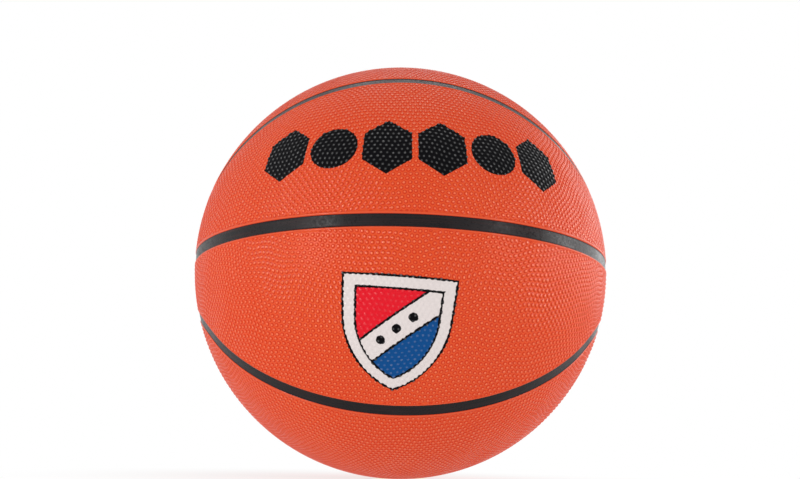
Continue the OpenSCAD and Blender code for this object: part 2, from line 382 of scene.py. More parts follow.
def trimmed(points, values, triangles, field, level, snap):
    # The part of a sheet where a field is above a level, with its edge exactly on that level.
    # Corners within snap of it are moved onto it, and each edge that crosses it gets a new corner there
    count = len(points)
    height = field(points) - level
    close = np.abs(height) < snap
    points = points.copy()
    points[close] = slid(points[close], field, -height[close])
    state = np.where(close, 0, np.sign(height)).astype(int)
    triangles = triangles[(state[triangles] > 0).any(1)]
    outside = (state[triangles] < 0).sum(1)
    whole, one, two = (triangles[outside == k] for k in (0, 1, 2))

    def turned(cut, sign):
        # Each triangle's corners turned so that its odd one comes first
        first = np.argmax(np.sign(state[cut]) * sign > 0, axis=1)
        return np.take_along_axis(cut, (first[:, None] + np.arange(3)) % 3, 1)

    one, two = turned(one, -1), turned(two, 1)
    pairs = np.concatenate([one[:, [2, 0]], one[:, [1, 0]], two[:, [0, 1]], two[:, [0, 2]]])
    keys, place = np.unique(pairs[:, 0] * count + pairs[:, 1], return_inverse=True)
    inside, beyond = keys // count, keys % count
    share = np.clip(height[inside] / (height[inside] - height[beyond]), 0, 1)[:, None]
    fresh = unit(points[inside] * (1 - share) + points[beyond] * share)
    fresh = slid(fresh, field, level - field(fresh))
    number = np.where(state[inside] == 0, inside, count + np.arange(len(keys)))[place]
    beforeOut, afterOut, left, right = np.split(number, np.cumsum([len(one), len(one), len(two)]))
    triangles = np.concatenate([whole, np.stack([one[:, 1], one[:, 2], beforeOut], -1),
                                np.stack([one[:, 1], beforeOut, afterOut], -1),
                                np.stack([two[:, 0], left, right], -1)])
    distinct = (triangles != np.roll(triangles, 1, 1)).all(1)
    onLevel = np.concatenate([state == 0, np.ones(len(keys), bool)])
    triangles = triangles[distinct & ~onLevel[triangles].all(1)]
    points = np.concatenate([points, fresh])
    values = [np.concatenate([v, np.zeros(len(keys))]) for v in values]
    used, triangles = np.unique(triangles, return_inverse=True)
    triangles = triangles.reshape(-1, 3)
    return points[used], [v[used] for v in values], triangles


def rimEdges(triangles):
    # Directed edges that only one triangle has, with the sheet on their left
    edges = np.concatenate([triangles[:, [0, 1]], triangles[:, [1, 2]], triangles[:, [2, 0]]])
    count = triangles.max() + 1
    forward, backward = edges[:, 0] * count + edges[:, 1], edges[:, 1] * count + edges[:, 0]
    return edges[~np.isin(forward, backward)]


def closedLoops(edges):
    # Directed edges joined into closed loops of corners, the longest first
    following = dict(edges.tolist())
    loops = []
    while following:
        first, corner = following.popitem()
        loop = [first]
        while corner != first:
            loop.append(corner)
            corner = following.pop(corner)
        loops.append(np.array(loop))
    return sorted(loops, key=len, reverse=True)


def stitched(outer, inner, outerPoints, innerPoints):
    # Triangles between two closed loops, facing the ball's centre. Each step goes on along the loop
    # whose next corner is nearer to the other loop's present one
    nearest = np.argmin(np.linalg.norm(innerPoints - outerPoints[0], axis=1))
    inner, innerPoints = np.roll(inner, -nearest), np.roll(innerPoints, -nearest, axis=0)
    outer, inner = np.append(outer, outer[0]).tolist(), np.append(inner, inner[0]).tolist()
    outerPoints = np.concatenate([outerPoints, outerPoints[:1]]).tolist()
    innerPoints = np.concatenate([innerPoints, innerPoints[:1]]).tolist()
    i = j = 0
    triangles = []
    while i < len(outer) - 1 or j < len(inner) - 1:
        byOuter = j == len(inner) - 1 or (i < len(outer) - 1 and math.dist(outerPoints[i + 1], innerPoints[j])
                                          < math.dist(outerPoints[i], innerPoints[j + 1]))
        if byOuter:
            triangles.append((outer[i + 1], outer[i], inner[j]))
            i += 1
        else:
            triangles.append((inner[j], inner[j + 1], outer[i]))
            j += 1
    return np.array(triangles)


def makePanel(name, node, kind, signs, seed, finish, hole):
    # A closed panel: a pebbled top, welt rows carried along its edge, a wall, and a smooth underside that
    # lies on the carcass
    field, tilt = panelKinds[kind]
    tilt = math.radians(tilt)
    signs = np.array(signs)
    if hole:
        holeAt = valveAxis * signs
        seamField = field

        def field(points):
            return np.minimum(seamField(points), ballR * angleFrom(points, holeAt) - hole)

    spots, rise, tone, triangles = pebbledSheet(seed)
    points, (rise, tone), triangles = trimmed(onBall(spots, tilt), [rise, tone], triangles, field,
                                              welt["width"], sheet["snap"])
    fromWelt = field(points) - welt["width"]
    rise = rise * smoothStep(fromWelt / pebbles["fade"])
    ground = welt["edgeDepth"] + (valleyDepth - welt["edgeDepth"]) * smoothStep(fromWelt / welt["slopeWidth"])
    corners = [points * (ballR - ground + rise * (ground - pebbles["topDepth"]))[:, None]]
    edges = rimEdges(triangles)
    rim, edges = np.unique(edges, return_inverse=True)
    edges = edges.reshape(-1, 2)
    a, b = edges[:, 0], edges[:, 1]
    parts, rises, tones, start = [triangles], [rise], [tone], len(points)
    previous = rim
    wallRow = (0.0, ballR - undersideR)
    for distance, depth in welt["profile"] + (wallRow,):
        row = slid(points[rim], field, distance - welt["width"])
        current = start + np.arange(len(rim))
        parts += [np.stack([previous[b], previous[a], current[a]], -1),
                  np.stack([previous[b], current[a], current[b]], -1)]
        corners.append(row * (ballR - depth))
        # Its rise sets the welt's gloss and painted shade, which darkens it down towards the strip
        rises.append(np.full(len(rim), np.interp(depth, welt["shadeDepths"], welt["shadeRises"])))
        tones.append(np.full(len(rim), evenTone))
        start, previous = start + len(rim), current

    underSpots, underTriangles = plainSheet(underside["spacing"])
    under, _, underTriangles = trimmed(onBall(underSpots, tilt), [], underTriangles, field,
                                       underside["margin"], underside["snap"])
    parts.append(underTriangles[:, ::-1] + start)
    corners.append(under * undersideR)
    rises.append(np.zeros(len(under)))
    tones.append(np.full(len(under), evenTone))
    for wall, floor in zip(closedLoops(edges), closedLoops(rimEdges(underTriangles))):
        parts.append(stitched(previous[wall], start + floor, row[wall], under[floor]))
    makePiece(name, node, np.concatenate(corners) * signs, np.concatenate(parts), finish,
              {"rise": np.concatenate(rises), "tone": np.concatenate(tones)})


# Channel strips

strips = {
    "sideGap": 0.04,            # between a strip and a panel's wall
    # Shares of the half width, and depth there below the strip's face, less than nothing on its raised lips
    "profile": ((0, 0), (0.5, 0.0), (0.8, 0.0), (0.88, -0.01), (0.93, -0.05), (0.97, -0.11), (1.0, -0.18)),
    "lipStart": 0.8,            # share of the half width from which places keep their distance to the edge
    "lipFade": 0.6,             # how soon the lips end beside a strip that joins from the side
    "fadeShares": (0, 0.3, 0.7, 1),   # stations in that length
    "endDrop": 0.3,             # how far a butted end is rounded down
    "endLength": 0.5,
    "endSteps": (0, 0.12, 0.25, 0.5),   # first stations of a butted end
    "endTurns": (45, 54, 63, 72, 81, 90),   # the next ones, as turns round the panels' corners
    "spacing": 2.1,             # between stations along a strip
    "leastSpacing": 0.02,
}


def stations(length, butted, crossings):
    # Distances along a strip, close together where a butted end flares into the rounded corners and where
    # other strips join
    if butted:
        r = seams["cornerRadius"]
        flare = np.append(strips["endSteps"], r * (1 - np.cos(np.radians(strips["endTurns"]))))
        even = np.linspace(r, length - r, round(length / strips["spacing"]))[1:-1]
        along = np.concatenate([flare, even, length - flare[::-1]])
    else:
        along = np.linspace(0, length, round(length / strips["spacing"]), endpoint=False)
    step = joinHalf + strips["lipFade"] * np.array(strips["fadeShares"])
    close = (np.array(crossings).reshape(-1, 1) + np.concatenate([-step, step])).ravel() % length
    along = np.sort(np.concatenate([along, close]))
    return along[np.append(True, np.diff(along) > strips["leastSpacing"])]


def lipShare(along, length, crossings):
    # How much of its lips a strip has at a place: none where another strip joins
    if not crossings:
        return np.ones(len(along))
    distance = np.abs(along[:, None] - np.array(crossings))
    distance = np.minimum(distance, length - distance).min(1)
    return smoothStep((distance - joinHalf) / strips["lipFade"])


def makeStrip(name, node, line, length, signs, finish, butted=True, crossings=()):
    # One profile carried along a line: line(share, offset) gives directions at a share of the length and
    # an offset to one side
    along = stations(length, butted, crossings)
    fromEnd = np.minimum(along, length - along)
    r = seams["cornerRadius"]
    flare = r - np.sqrt(r ** 2 - np.clip(r - fromEnd, 0, r) ** 2) if butted else 0 * along
    drop = strips["endDrop"] * np.clip(1 - fromEnd / strips["endLength"], 0, 1) ** 2 if butted else 0 * along
    shares, depths = np.array(strips["profile"]).T
    across = np.concatenate([-shares[:0:-1], shares])
    depth = np.concatenate([depths[:0:-1], depths])
    half = (halfStrip - strips["sideGap"] + flare)[:, None]
    fromMiddle = half - halfStrip * (1 - np.abs(across))
    offset = np.where(np.abs(across) > strips["lipStart"], np.sign(across) * fromMiddle, across * half)
    lips = lipShare(along, length, crossings)[:, None]
    face = stripR - np.maximum(depth, 0) - np.minimum(depth, 0) * lips - drop[:, None]
    way = line((along / length)[:, None], offset)
    loop = np.concatenate([way * face[..., None], way[:, ::-1] * undersideR], 1)
    rows, columns = loop.shape[:2]
    triangles = gridTriangles(rows, columns, not butted, True)
    if butted:
        k = np.arange(len(across) - 1)
        a, b, c, d = k, k + 1, columns - 2 - k, columns - 1 - k
        cap = np.concatenate([np.stack([a, c, b], -1), np.stack([a, d, c], -1)])
        triangles = np.concatenate([triangles, cap, cap[:, ::-1] + (rows - 1) * columns])
    shareAcross = np.broadcast_to(np.concatenate([across, across[::-1]]), (rows, columns)).ravel()
    lengthAlong = np.broadcast_to(along[:, None], (rows, columns)).ravel()
    makePiece(name, node, loop.reshape(-1, 3) * np.array(signs), triangles, finish,
              {"across": shareAcross, "along": lengthAlong})


def equatorLine(share, offset):
    # A great circle in XY, offset towards +Z
    turn, lift = 2 * math.pi * share, offset / ballR
    return np.stack([np.cos(turn) * np.cos(lift), np.sin(turn) * np.cos(lift), np.sin(lift) + 0 * turn], -1)


def meridianLine(share, offset):
    # The upper half of a great circle in XZ, offset towards -Y, between the equator strip's two edges
    lift = offset / ballR
    first = np.arcsin(math.sin(halfStrip / ballR) / np.cos(lift))
    turn = first + (math.pi - 2 * first) * share
    return np.stack([np.cos(turn) * np.cos(lift), -np.sin(lift) + 0 * turn, np.sin(turn) * np.cos(lift)], -1)


# An end arc's turn where it leaves the meridian's strip, and the lengths of the end and side arcs
endStart = math.asin(math.sin(halfStrip / ballR) / math.sin(endAngle))
endLength = ballR * math.sin(endAngle) * (endTurn - endStart)
sideLength = ballR * math.sin(sideAngle) * (math.pi / 2 - sideTurn)


def ovalLine(share, offset):
    # The front half of the oval, offset outwards: an end arc, the side arc, and both again mirrored
    share, offset = np.broadcast_arrays(share, offset)
    half = 1 - np.abs(2 * share - 1)
    split = endLength / (endLength + sideLength)
    angle = endAngle + offset / ballR
    first = np.arcsin(math.sin(halfStrip / ballR) / np.sin(angle))
    turn = first + (endTurn - first) * np.minimum(half / split, 1)
    x, y, z = np.sin(angle) * np.cos(turn), -np.sin(angle) * np.sin(turn), np.cos(angle)
    c, s = math.sin(endPoleLat), math.cos(endPoleLat)
    end = np.stack([x * c + z * s, y, z * c - x * s], -1)
    angle = sideAngle + offset / ballR
    turn = sideTurn + (math.pi / 2 - sideTurn) * np.clip((half - split) / (1 - split), 0, 1)
    x, y, z = np.sin(angle) * np.cos(turn), -np.sin(angle) * np.sin(turn), np.cos(angle)
    c, s = math.cos(sideTilt), math.sin(sideTilt)
    side = np.stack([x, y * c - z * s, y * s + z * c], -1)
    quarter = np.where((half < split)[..., None], end, side)
    quarter[..., 0] *= np.where(share < 0.5, 1, -1)
    return quarter


# Valve

valve = {
    # Each rim is rounded by pairs: how far from its radius, and how deep below its face
    "eyeletRadius": 4.5,
    "eyeletDepth": 0.3,
    "eyeletRim": ((0, 0.45), (0.1, 0.25), (0.3, 0.13), (0.6, 0.1)),
    "eyeletBoreRim": ((0.55, 0.04), (0.25, 0.07), (0.08, 0.18), (0, 0.35)),
    "noseRadius": 2.6,
    "noseDepth": 0.7,
    "noseRim": ((0, 0.3), (0.08, 0.12), (0.25, 0.02), (0.4, 0)),
    "mouthRadius": 1.6,
    "mouthDepth": 0.5,
    "mouthRim": ((0.25, 0), (0.08, 0.02), (0, 0.08)),
    "holeRim": ((0.05, -0.04), (0, 0.06)),
    "holeTaper": 0.3,           # length in which the guide hole narrows at its foot
    "holeTipShare": 0.6,        # how much of its radius it keeps there
    "holeTipDepth": 0.05,
    "bodyRadius": 3.6,
    "bodyLength": 11.0,
    "bodyChamfer": 0.4,
    "gap": 0.03,                # between the valve's pieces
    "steps": 72,
    "creaseAngle": 35,
}


def revolved(name, node, profile, finish):
    # A profile of (radius, distance from the ball's centre) turned about the valve's axis
    radius, distance = np.array(profile).T
    turn = np.arange(valve["steps"]) * 2 * math.pi / valve["steps"]
    side = unit(np.cross(valveAxis, [1, 0, 0]))
    other = np.cross(valveAxis, side)
    ring = np.cos(turn)[:, None] * side + np.sin(turn)[:, None] * other
    corners = (radius[None, :, None] * ring[:, None, :] + distance[None, :, None] * valveAxis).reshape(-1, 3)
    triangles = gridTriangles(valve["steps"], len(radius), True, radius[0] > 0)
    # Corners on the axis become one, and the triangles that this flattens are left out
    column = triangles % len(radius)
    triangles = np.where(radius[column] == 0, column, triangles)
    triangles = triangles[(triangles != np.roll(triangles, 1, 1)).all(1)]
    used, triangles = np.unique(triangles, return_inverse=True)
    makePiece(name, node, corners[used], triangles.reshape(-1, 3), finish, {}, valve["creaseAngle"])


def eyeletProfile():
    # A washer with rounded rims between the panel and the plug's nose, its foot on the carcass
    outer, inner = valve["eyeletRadius"] - valve["gap"], valve["noseRadius"] + valve["gap"]
    top = ballR - valve["eyeletDepth"]
    foot = [(radius, math.sqrt(undersideR ** 2 - radius ** 2)) for radius in (inner, outer)]
    rim = [(outer - inset, top - depth) for inset, depth in valve["eyeletRim"]]
    bore = [(inner + outset, top - depth) for outset, depth in valve["eyeletBoreRim"]]
    return foot + rim + bore


def plugProfile():
    # The plug's body inside the housing, its nose in the eyelet, and the guide hole with its coned mouth
    nose = ballR - valve["noseDepth"]
    bottom, chamfer = carcassR - valve["bodyLength"], valve["bodyChamfer"]
    body, neck = valve["bodyRadius"] - valve["gap"], valve["noseRadius"] - valve["gap"]
    shoulder = math.sqrt(carcassR ** 2 - body ** 2) - valve["gap"]
    holeR, holeTop = needleGuide["dims"]["r_mm"], nose - valve["mouthDepth"]
    holeFoot = holeTop - needleGuide["dims"]["length_mm"]
    outside = [(0, bottom), (body - chamfer, bottom), (body, bottom + chamfer), (body, shoulder),
               (neck, shoulder)]
    rim = [(neck - inset, nose - depth) for inset, depth in valve["noseRim"]]
    mouth = [(valve["mouthRadius"] + outset, nose - depth) for outset, depth in valve["mouthRim"]]
    throat = [(holeR + outset, holeTop - depth) for outset, depth in valve["holeRim"]]
    tip = [(holeR, holeFoot + valve["holeTaper"]), (holeR * valve["holeTipShare"], holeFoot),
           (0, holeFoot - valve["holeTipDepth"])]
    return outside + rim + mouth + throat + tip


# Materials

class Wire:
    # A node's output. Arithmetic on it adds Math nodes
    def __init__(self, finish, socket):
        self.finish = finish
        self.socket = socket

    def math(self, operation, *others):
        return self.finish.node("ShaderNodeMath", {"operation": operation}, dict(enumerate((self,) + others)))

    def __add__(self, other):
        return self.math("ADD", other)

    def __sub__(self, other):
        return self.math("SUBTRACT", other)

    def __mul__(self, other):
        return self.math("MULTIPLY", other)

    def __truediv__(self, other):
        return self.math("DIVIDE", other)

    def __neg__(self):
        return self.math("MULTIPLY", -1)

    def __rsub__(self, other):
        return -self + other

    def __abs__(self):
        return self.math("ABSOLUTE")

    __radd__ = __add__
    __rmul__ = __mul__


class Finish:
    # A material, or any node tree: node() takes a node's type, its settings, and its sockets' values or links
    def __init__(self, name, tree=None):
        if tree is None:
            self.material = bpy.data.materials.new(name)
            self.material.use_nodes = True
            tree = self.material.node_tree
        self.tree = tree
        self.tree.nodes.clear()

    def node(self, kind, settings=None, sockets=None, output=0):
        made = self.tree.nodes.new(kind)
        for key, value in (settings or {}).items():
            setattr(made, key, value)
        for key, value in (sockets or {}).items():
            if isinstance(value, Wire):
                self.tree.links.new(value.socket, made.inputs[key])
            else:
                made.inputs[key].default_value = value
        return Wire(self, made.outputs[output]) if made.outputs else made

    def place(self):
        # Object coordinates, in mm
        coordinates = self.node("ShaderNodeTexCoord", output="Object")
        return self.node("ShaderNodeVectorMath", {"operation": "SCALE"}, {0: coordinates, "Scale": 1 / mm})

    def split(self, vector):
        made = self.node("ShaderNodeSeparateXYZ", sockets={0: vector})
        return [Wire(self, socket) for socket in made.socket.node.outputs]

    def noise(self, size, detail=2.0):
        # Noise from 0 to 1 whose features are about size mm across
        return self.node("ShaderNodeTexNoise",
                         sockets={"Vector": self.place(), "Scale": 1 / size, "Detail": detail})

    def value(self, attribute):
        return self.node("ShaderNodeAttribute", {"attribute_name": attribute}, output="Fac")

    def mix(self, share, first, second):
        return self.node("ShaderNodeMix", {"data_type": "RGBA"}, {0: share, 6: first, 7: second}, 2)

    def ramp(self, value, low, high, start=0.0, end=1.0):
        # A smooth step of value from low to high
        return self.node("ShaderNodeMapRange", {"interpolation_type": "SMOOTHSTEP"},
                         {0: value, 1: low, 2: high, 3: start, 4: end})

    def bump(self, height, depth, normal=None):
        # A Bump node for a height from 0 to 1 that stands for depth mm
        sockets = {"Height": height, "Distance": depth * mm, "Strength": 1.0}
        if normal:
            sockets["Normal"] = normal
        return self.node("ShaderNodeBump", sockets=sockets)

    def surface(self, sockets):
        shader = self.node("ShaderNodeBsdfPrincipled", sockets=sockets)
        self.node("ShaderNodeOutputMaterial", sockets={"Surface": shader})
        return self.material


cover = {
    "body": (0.77, 0.076, 0.016, 1),
    "light": (0.81, 0.100, 0.022, 1),
    # Painted shade: the colour of the pebbles' flanks, darker where less light falls on them
    "flank": (0.65, 0.034, 0.005, 1),
    # Painted highlight: the lighter colour of the pebbles' tops, standing in for their glints
    "tip": (0.90, 0.18, 0.045, 1),
    "cloudSize": 45.0,          # of broad areas that are lighter or darker
    "cloudLevel": 0.45,
    "toneWeight": 0.5,          # how much single pebbles differ in lightness
    # Rises, 0 in the valleys and 1 on the highest tops, between which a look sets in
    "flankStart": (0.02, 0.2),
    "flankEnd": (0.5, 0.8),
    "tipStart": (0.72, 1.0),
    "topStart": (0.64, 0.92),
    "roughness": 0.32,
    "roughSpread": 0.12,
    "grainSize": 0.16,
    "grainDepth": 0.012,
    "specular": 0.04,
    "gloss": 0.12,              # weight of the glossy coat in the valleys, where dark ink has none
    "topGloss": 0.50,           # what the pebbles' tops add to it
    "inkTopGloss": 0.44,        # what they add further under dark ink
    "topSpread": 0.45,          # how much the tops' gloss differs from pebble to pebble
    "glossRoughness": 0.15,
    "glossIor": 1.9,
}
ink = {
    "black": (0.0027, 0.0024, 0.0034, 1),
    "white": (0.78, 0.70, 0.68, 1),
    "red": (0.78, 0.003, 0.016, 1),
    "blue": (0.006, 0.075, 0.26, 1),
    "softness": 0.12,
    "ragged": 0.30,             # how far the pebbles push a print's edge
    "grainRagged": 0.48,        # how far its own grain does
    "grainSize": 0.9,
    "darkReds": (0.1, 0.4),     # red of a colour that counts as dark ink, and of one that doesn't
}
bandPrint = {
    "latitude": 18.8,
    "offset": 4.4,              # to the right of the middle of the front
    "width": 161.0,
    "count": 6,
    "halfWidth": 12.0,          # of a hexagon, which points up and down
    "halfHeight": 16.5,
    "shoulder": 8.0,
    "discRadius": 12.3,
    "discIndex": 1,             # which motif is a disc, counted from the middle outwards from 0
}
shieldPrint = {
    "place": (-2.8, -51.0),     # along and up from the middle of the front, over the ball
    "turn": -3.3,
    "halfWidth": 26.0,
    "topHeight": 25.5,
    "sideTop": 4.0,             # where the sides begin to curve in
    "tip": 32.5,                # depth of the point
    "outline": 1.1,
    "ring": 4.8,
    "stripeAngle": 40.0,
    "stripeHalf": 5.6,
    "dotCount": 3,
    "dotSpacing": 9.5,
    "dotRadius": 2.3,
}


def printed(finish, rise, distance, under, over):
    # One colour over another inside a shape, given a distance that is negative inside. The pebbles and a
    # grain make the shape's edge ragged
    grain = finish.noise(ink["grainSize"]) - 0.5
    ragged = distance + grain * ink["grainRagged"] + (0.5 - rise) * ink["ragged"]
    inside = finish.ramp(ragged, -ink["softness"], ink["softness"], 1.0, 0.0)
    return finish.mix(inside, under, over)


def overBall(finish, latitude):
    # Distances along and up over the front of the ball, in mm, true at one latitude
    x, y, z = finish.split(finish.place())
    length = finish.node("ShaderNodeVectorMath", {"operation": "LENGTH"}, {0: finish.place()}, "Value")
    along = x.math("ARCTAN2", -y) * (ballR * math.cos(math.radians(latitude)))
    up = (z / length).math("ARCSINE") * ballR
    return along, up


def turnedBack(x, y, angle):
    # Coordinates in a pattern that is turned by an angle
    c, s = math.cos(math.radians(angle)), math.sin(math.radians(angle))
    return x * c + y * s, y * c - x * s


def paintBand(finish, colour, rise):
    # A row of six black motifs along a parallel: hexagon, disc, hexagon, and the same again
    along, up = overBall(finish, bandPrint["latitude"])
    up = abs(up - ballR * math.radians(bandPrint["latitude"]))
    pitch = bandPrint["width"] / bandPrint["count"]
    side = abs(along - bandPrint["offset"])
    index = (side / pitch).math("FLOOR")
    x = abs(side - (index + 0.5) * pitch)
    halfWidth, halfHeight = bandPrint["halfWidth"], bandPrint["halfHeight"]
    slant = math.hypot(halfWidth, halfHeight - bandPrint["shoulder"])
    level, steep = (halfHeight - bandPrint["shoulder"]) / slant, halfWidth / slant
    hexagon = (x - halfWidth).math("MAXIMUM", x * level + up * steep - halfHeight * steep)
    disc = (x * x + up * up).math("SQRT") - bandPrint["discRadius"]
    motif = hexagon + (disc - hexagon) * index.math("COMPARE", bandPrint["discIndex"], 0.1)
    motif = motif.math("MAXIMUM", side - bandPrint["width"] / 2)
    return printed(finish, rise, motif, colour, ink["black"])


def paintShield(finish, colour, rise):
    # A shield with a white rim, parted by a slanting white stripe into a red and a blue field
    s = shieldPrint
    latitude = math.degrees(s["place"][1] / ballR)
    along, up = overBall(finish, latitude)
    along = along - s["place"][0] * math.cos(math.radians(latitude))
    x, y = turnedBack(along, up - s["place"][1], s["turn"])
    # The lower sides are arcs that meet at the tip, and the upper part is a box
    drop = s["tip"] + s["sideTop"]
    reach = drop ** 2 / s["halfWidth"]
    arcR, arcX = (reach + s["halfWidth"]) / 2, (reach - s["halfWidth"]) / 2
    wide = abs(x)
    low = y - s["sideTop"]
    beside = wide + arcX
    lower = (beside * beside + low * low).math("SQRT") - arcR
    upper = (wide - s["halfWidth"]).math("MAXIMUM", y - s["topHeight"])
    edge = upper + (lower - upper) * low.math("LESS_THAN", 0.0)
    length, across = turnedBack(x, y, s["stripeAngle"])
    stripe = abs(across) - s["stripeHalf"]
    spot = length - (length / s["dotSpacing"]).math("ROUND") * s["dotSpacing"]
    dots = (spot * spot + across * across).math("SQRT") - s["dotRadius"]
    dots = dots.math("MAXIMUM", abs(length) - s["dotSpacing"] * s["dotCount"] / 2)
    inner = edge + (s["outline"] + s["ring"])
    fields = printed(finish, rise, -across, ink["blue"], ink["red"])
    badge = printed(finish, rise, edge + s["outline"], ink["black"], ink["white"])
    for distance, paint in ((stripe - s["outline"], "black"), (stripe, "white"), (dots, "black")):
        fields = printed(finish, rise, distance, fields, ink[paint])
    badge = printed(finish, rise, inner, badge, ink["black"])
    badge = printed(finish, rise, inner + s["outline"], badge, fields)
    return printed(finish, rise, edge, colour, badge)


def coverRubber(name, paint=None):
    # Moulded rubber with a fine grain, glossiest on the pebbles' tops. Its colour holds painted shade on the
    # pebbles' flanks and a painted highlight on their tops
    finish = Finish(name)
    rise, tone = finish.value("rise"), finish.value("tone")
    broad, grain = finish.noise(cover["cloudSize"]), finish.noise(cover["grainSize"], detail=3.0)
    light = (tone * cover["toneWeight"] + broad - cover["cloudLevel"]).math("MINIMUM", 1.0)
    # Painted shade on the pebbles' steep flanks
    flank = finish.ramp(rise, *cover["flankStart"]) - finish.ramp(rise, *cover["flankEnd"])
    colour = finish.mix(flank, finish.mix(light, cover["body"], cover["light"]), cover["flank"])
    # Painted highlight on the pebbles' tops
    colour = finish.mix(finish.ramp(rise, *cover["tipStart"]), colour, cover["tip"])
    if paint:
        colour = paint(finish, colour, rise)
    rough = cover["roughness"] + (grain + tone - 1.0) * cover["roughSpread"]
    top = finish.ramp(rise, *cover["topStart"]) * (tone * cover["topSpread"] + (1 - cover["topSpread"]))
    inked = finish.ramp(finish.split(colour)[0], *ink["darkReds"], 1.0, 0.0)
    gloss = top * cover["topGloss"] + cover["gloss"] + inked * (top * cover["inkTopGloss"] - cover["gloss"])
    return finish.surface({"Base Color": colour, "Roughness": rough, "Specular IOR Level": cover["specular"],
                           "Coat Weight": gloss, "Coat Roughness": cover["glossRoughness"],
                           "Coat IOR": cover["glossIor"],
                           "Normal": finish.bump(grain, cover["grainDepth"])})


stripFinish = {
    "dark": (0.006, 0.0055, 0.0065, 1),
    "faded": (0.013, 0.010, 0.011, 1),
    "line": (0.030, 0.012, 0.012, 1),
    "patchSize": 14.0,
    "speckleSize": 1.3,
    "grainSize": 0.25,
    "waveSize": 2.4,
    "linesAcross": 9.0,         # moulding lines in half the width
    "linesAlong": 0.02,         # how often they change along the strip
    "fadedPatches": (0.35, 0.75),
    "lineStart": (0.5, 0.75),
    "roughness": 0.32,
    "patchRough": 0.3,
    "speckleRough": 0.6,
    "grainRough": 0.1,
    "specular": 0.15,
    "lineShare": 0.6,           # of the lines in the fine relief, with the grain as the rest
    "reliefDepth": 0.015,
    "waveDepth": 0.06,
}


def stripRubber(name):
    # Smooth black rubber with faint moulding lines along the strip and a few duller patches
    s = stripFinish
    finish = Finish(name)
    across, along = finish.value("across"), finish.value("along")
    patches, speckle = finish.noise(s["patchSize"], detail=3.0), finish.noise(s["speckleSize"])
    grain = finish.noise(s["grainSize"], detail=3.0)
    place = finish.node("ShaderNodeCombineXYZ",
                        sockets={0: across * s["linesAcross"], 1: along * s["linesAlong"]})
    lines = finish.node("ShaderNodeTexNoise", {"noise_dimensions": "2D"},
                        {"Vector": place, "Scale": 1.0, "Detail": 2.0})
    colour = finish.mix(finish.ramp(patches, *s["fadedPatches"]), s["dark"], s["faded"])
    colour = finish.mix(finish.ramp(lines, *s["lineStart"]), colour, s["line"])
    rough = (s["roughness"] + (patches - 0.5) * s["patchRough"] + (speckle - 0.5) * s["speckleRough"]
             + (grain - 0.5) * s["grainRough"])
    relief = lines * s["lineShare"] + grain * (1 - s["lineShare"])
    waves = finish.bump(finish.noise(s["waveSize"]), s["waveDepth"])
    return finish.surface({"Base Color": colour, "Roughness": rough, "Specular IOR Level": s["specular"],
                           "Normal": finish.bump(relief, s["reliefDepth"], waves)})


softRubber = {
    "cloudSize": 9.0,
    "cloudStart": (0.3, 0.7),
    "cloudLight": 1.7,          # how many times lighter the clouds are
    "roughSpread": 0.15,
    "grainDepth": 0.02,
    "specular": 0.2,
    # Each kind's colour, roughness and size of grain
    "kinds": {
        "eyeletRubber": ((0.014, 0.013, 0.013, 1), 0.42, 0.25),
        "valveRubber": ((0.028, 0.028, 0.029, 1), 0.55, 0.3),
        "butylRubber": ((0.02, 0.02, 0.022, 1), 0.5, 0.4),
        "patchRubber": ((0.022, 0.022, 0.024, 1), 0.6, 0.35),
        "housingRubber": ((0.024, 0.024, 0.026, 1), 0.55, 0.35),
        "carcassRubber": ((0.05, 0.035, 0.03, 1), 0.65, 0.5),
    },
}


def plainRubber(name):
    # Soft matt rubber with a fine grain and slight clouding
    colour, roughness, grainSize = softRubber["kinds"][name]
    finish = Finish(name)
    clouds, grain = finish.noise(softRubber["cloudSize"]), finish.noise(grainSize, detail=3.0)
    light = tuple(c * softRubber["cloudLight"] for c in colour[:3]) + (1,)
    clouded = finish.mix(finish.ramp(clouds, *softRubber["cloudStart"]), colour, light)
    rough = roughness + (grain - 0.5) * softRubber["roughSpread"]
    return finish.surface({"Base Color": clouded, "Roughness": rough,
                           "Specular IOR Level": softRubber["specular"],
                           "Normal": finish.bump(grain, softRubber["grainDepth"])})


winding = {
    # dark is painted shade in the grooves between threads, light is the thread's own colour on the crests
    "dark": (0.42, 0.39, 0.33, 1),
    "light": (0.74, 0.71, 0.64, 1),
    "waves": ((7.2, 0.0, 5.4), (-3.6, 6.3, 2.7)),   # radians a mm along x, y and z, both ways of the thread
    "roughness": 0.55,
    "roughSpread": 0.2,
    "grainSize": 1.0,
    "depth": 0.1,
}


def woundThread(name):
    # Nylon thread wound in two crossing directions: the higher one of two sine waves, lighter on the crests,
    # with painted shade darkening the grooves between threads
    finish = Finish(name)
    first, second = (finish.node("ShaderNodeVectorMath", {"operation": "DOT_PRODUCT"},
                                 {0: finish.place(), 1: wave}, "Value").math("SINE")
                     for wave in winding["waves"])
    height = first.math("MAXIMUM", second) * 0.5 + 0.5
    rough = winding["roughness"] + (finish.noise(winding["grainSize"]) - 0.5) * winding["roughSpread"]
    return finish.surface({"Base Color": finish.mix(height, winding["dark"], winding["light"]),
                           "Roughness": rough, "Normal": finish.bump(height, winding["depth"])})


plainCover = coverRubber("coverRubber")
bandCover = coverRubber("coverRubberBand", paintBand)
shieldCover = coverRubber("coverRubberShield", paintShield)
blackStrip = stripRubber("stripRubber")
eyeletRubber = plainRubber("eyeletRubber")
valveRubber = plainRubber("valveRubber")
print("materials made")

# Pieces

